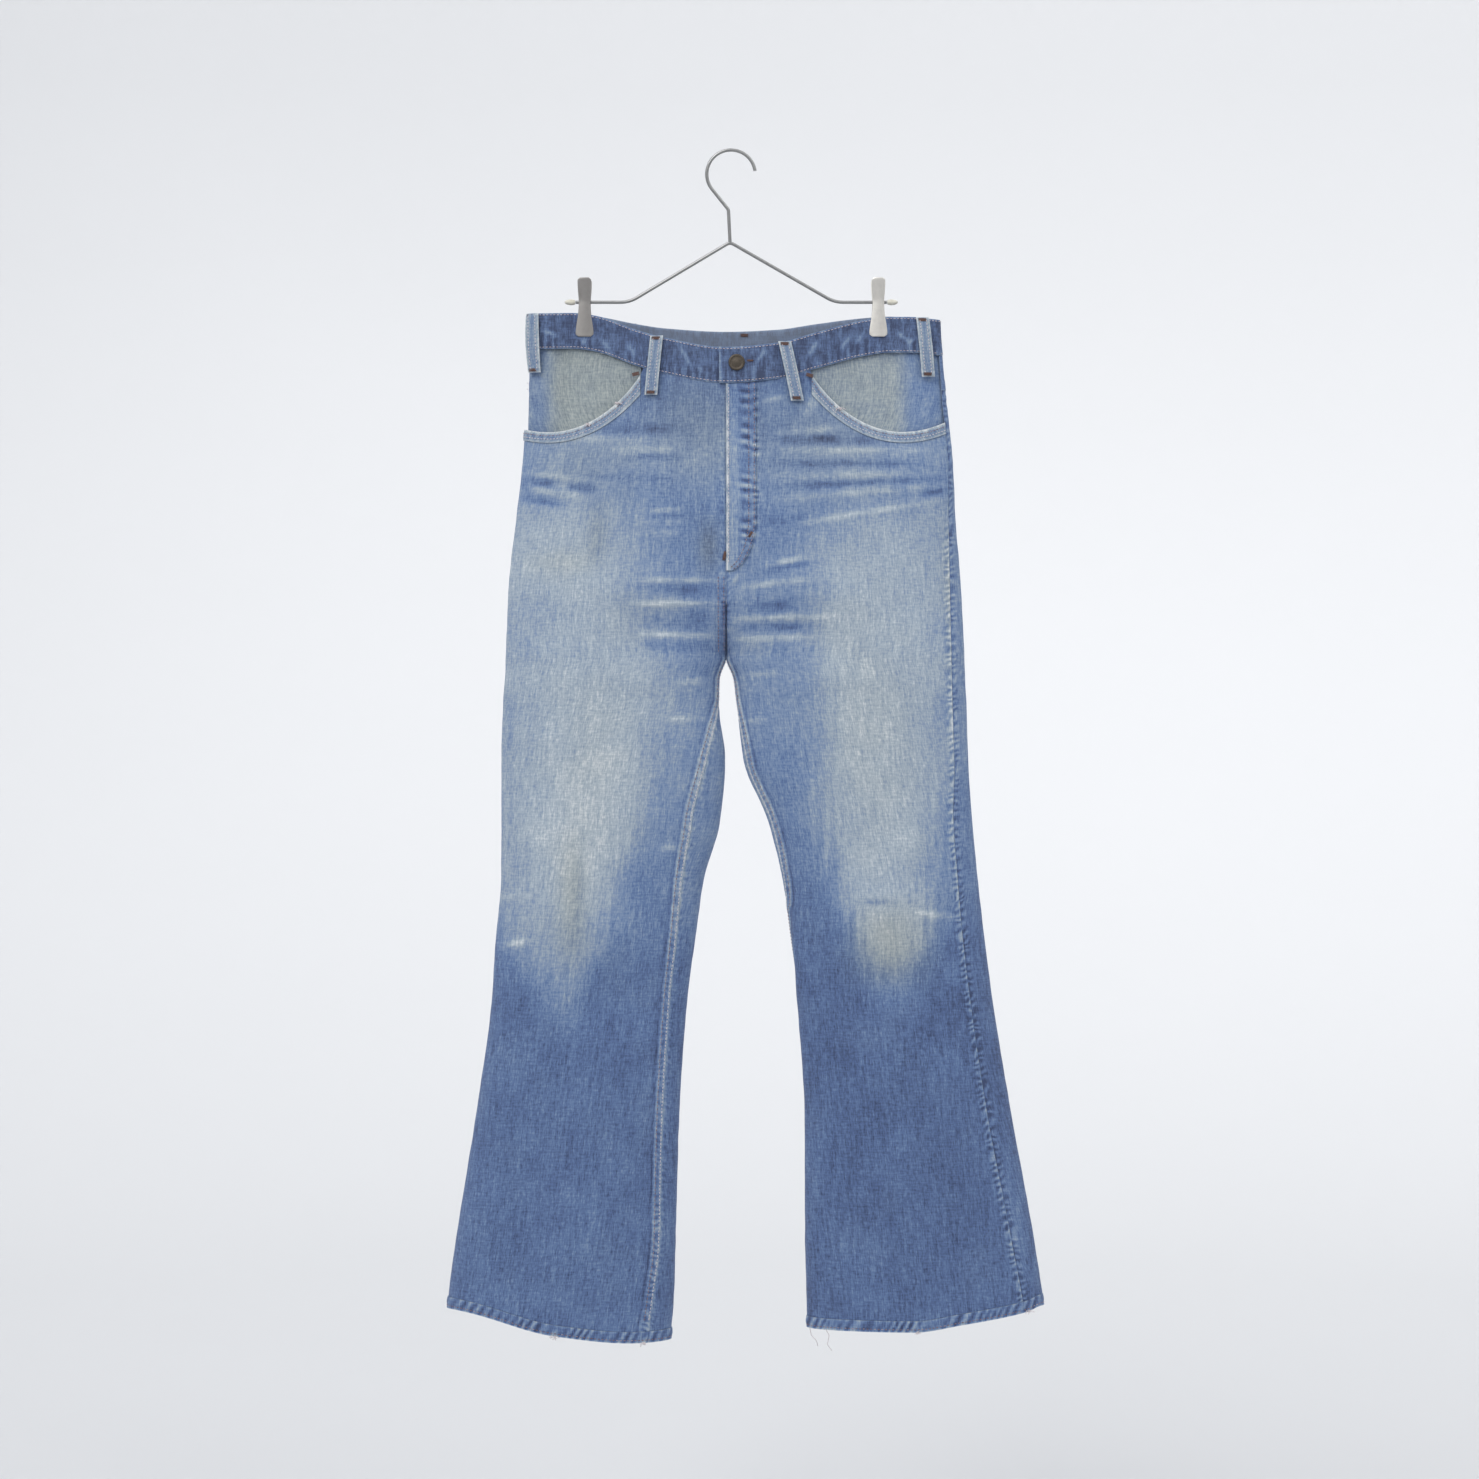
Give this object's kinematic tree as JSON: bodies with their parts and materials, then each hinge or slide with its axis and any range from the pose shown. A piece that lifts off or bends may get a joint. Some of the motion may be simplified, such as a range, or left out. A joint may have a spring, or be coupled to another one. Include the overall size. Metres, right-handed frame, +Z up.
{
  "type": "flared jeans on a clip hanger",
  "caption": "Worn flared denim jeans with scoop pockets, hanging by the waistband from a bent wire hanger with a clip at each side",
  "frame": {"origin": "the underside of the hook's top bend, where the hanger rests on whatever it hangs from", "axes": "+Z up along the garment, the fronts face -Y, the wearer's left leg lies towards +X"},
  "size_m": [0.6171, 0.0731, 1.2294],
  "materials": {
    "denim": "faded indigo denim twill, pale down the thighs, bluer below the knees",
    "facing": "worn pale grey-green pocket facing",
    "button": "worn dark bronze, plain",
    "steel": "satin steel wire",
    "clip": "satin nickel plate",
    "cap": "clear-white moulded tip"
  },
  "bodies": {
    "root": {"front_right": "denim", "front_left": "denim", "back_right": "denim", "back_left": "denim", "yoke_right": "denim", "yoke_left": "denim", "pocket_facing_right": "facing", "pocket_facing_left": "facing", "pocket_rim_right": "denim", "pocket_rim_left": "denim", "back_pocket_right": "denim", "back_pocket_left": "denim", "hem_right_front": "denim", "hem_right_back": "denim", "hem_left_front": "denim", "hem_left_back": "denim", "fly_flap": "denim", "waistband_front_right": "denim", "waistband_front_left": "denim", "waistband_back": "denim", "belt_loop_1": "denim", "belt_loop_2": "denim", "belt_loop_3": "denim", "belt_loop_4": "denim", "belt_loop_5": "denim", "belt_loop_6": "denim", "belt_loop_7": "denim", "waist_button": "button", "hanger_hook": "steel", "hanger_arms": "steel", "clip_right_front": "clip", "clip_right_back": "clip", "clip_right_spring": "steel", "clip_left_front": "clip", "clip_left_back": "clip", "clip_left_spring": "steel", "wire_cap_right": "cap", "wire_cap_left": "cap"}
  },
  "joints": []
}
